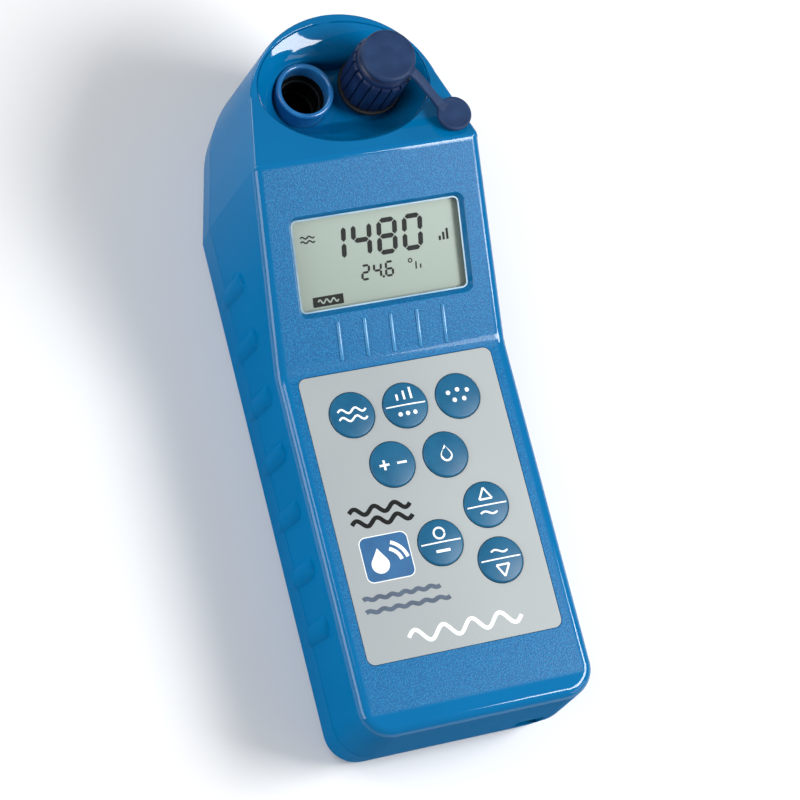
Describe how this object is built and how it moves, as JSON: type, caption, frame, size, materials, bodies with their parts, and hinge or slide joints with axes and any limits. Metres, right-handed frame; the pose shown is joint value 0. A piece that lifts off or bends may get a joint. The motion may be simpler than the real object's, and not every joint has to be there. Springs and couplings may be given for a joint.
{
  "type": "digital water tester",
  "caption": "Handheld water tester: waisted two-shell case with a sloped display, round keys and an oval bowl with an open cell cup and a capped sensor well.",
  "frame": {"origin": "middle of the footprint, on the surface that the tester lies on", "axes": "+X to the tester's right, +Y along the case from the keypad end to the sample head, +Z out of the keypad face"},
  "size_m": [0.0692, 0.1958, 0.0727],
  "materials": {
    "case_blue": "moulded, satin gloss, grained on the front",
    "tube_blue": "moulded, smooth",
    "cap_navy": "moulded, fine satin",
    "tab_navy": "soft moulded, matt",
    "key_blue": "satin",
    "label_silver": "satin printed sheet",
    "window_clear": "clear",
    "display_glass": "reflective liquid crystal",
    "black_rubber": "matt",
    "foam_pad": "open cell foam",
    "steel": "bright",
    "circuit_green": "solder mask",
    "ivory_plastic": "satin",
    "sensor_glass": "clear",
    "red_wire": "satin",
    "battery_case": "printed steel jacket",
    "black_plastic": "satin"
  },
  "bodies": {
    "case": {"battery": "battery_case", "battery_lead_black": "black_plastic", "battery_lead_red": "red_wire", "battery_pad": "foam_pad", "battery_snap": "black_plastic", "board_screw_1": "steel", "board_screw_2": "steel", "board_screw_3": "steel", "board_screw_4": "steel", "case_gasket": "black_rubber", "case_screw_1": "steel", "case_screw_2": "steel", "case_screw_3": "steel", "case_screw_4": "steel", "cell_cup": "tube_blue", "cell_electrode_lower": "steel", "cell_electrode_upper": "steel", "cell_thermistor": "steel", "circuit_board": "circuit_green", "data_module": "ivory_plastic", "display_board": "circuit_green", "display_connector_1": "black_rubber", "display_connector_2": "black_rubber", "display_holder": "black_plastic", "display_panel": "display_glass", "display_window": "window_clear", "dome_acidity": "steel", "dome_calibrate": "steel", "dome_conductivity": "steel", "dome_down_recall": "steel", "dome_mineral_salt": "steel", "dome_redox": "steel", "dome_solids": "steel", "dome_up_store": "steel", "front_case": "case_blue", "key_label": "label_silver", "key_mat": "black_rubber", "lanyard_pin": "steel", "processor_chip": "black_plastic", "rear_cover": "case_blue", "ribbon_cable": "ivory_plastic", "sensor_body": "black_plastic", "sensor_bulb": "sensor_glass", "sensor_collar": "black_rubber", "sensor_connector": "black_plastic", "sensor_seal": "black_rubber", "sensor_well": "tube_blue"},
    "cap": {"sensor_cap": "cap_navy", "cap_pull_tab": "tab_navy"},
    "key_conductivity": {"key_conductivity": "key_blue"},
    "key_mineral_salt": {"key_mineral_salt": "key_blue"},
    "key_solids": {"key_solids": "key_blue"},
    "key_redox": {"key_redox": "key_blue"},
    "key_acidity": {"key_acidity": "key_blue"},
    "key_up_store": {"key_up_store": "key_blue"},
    "key_calibrate": {"key_calibrate": "key_blue"},
    "key_down_recall": {"key_down_recall": "key_blue"}
  },
  "joints": [
    {"name": "cap_lift", "type": "slide", "parent": "case", "child": "cap", "axis": [0, 0, 1], "range_m": [0, 0.03]},
    {"name": "press_conductivity", "type": "slide", "parent": "case", "child": "key_conductivity", "axis": [0, 0, -1], "range_m": [0, 0.0008], "stiffness_N_per_m": 1500},
    {"name": "press_mineral_salt", "type": "slide", "parent": "case", "child": "key_mineral_salt", "axis": [0, 0, -1], "range_m": [0, 0.0008], "stiffness_N_per_m": 1500},
    {"name": "press_solids", "type": "slide", "parent": "case", "child": "key_solids", "axis": [0, 0, -1], "range_m": [0, 0.0008], "stiffness_N_per_m": 1500},
    {"name": "press_redox", "type": "slide", "parent": "case", "child": "key_redox", "axis": [0, 0, -1], "range_m": [0, 0.0008], "stiffness_N_per_m": 1500},
    {"name": "press_acidity", "type": "slide", "parent": "case", "child": "key_acidity", "axis": [0, 0, -1], "range_m": [0, 0.0008], "stiffness_N_per_m": 1500},
    {"name": "press_up_store", "type": "slide", "parent": "case", "child": "key_up_store", "axis": [0, 0, -1], "range_m": [0, 0.0008], "stiffness_N_per_m": 1500},
    {"name": "press_calibrate", "type": "slide", "parent": "case", "child": "key_calibrate", "axis": [0, 0, -1], "range_m": [0, 0.0008], "stiffness_N_per_m": 1500},
    {"name": "press_down_recall", "type": "slide", "parent": "case", "child": "key_down_recall", "axis": [0, 0, -1], "range_m": [0, 0.0008], "stiffness_N_per_m": 1500}
  ]
}
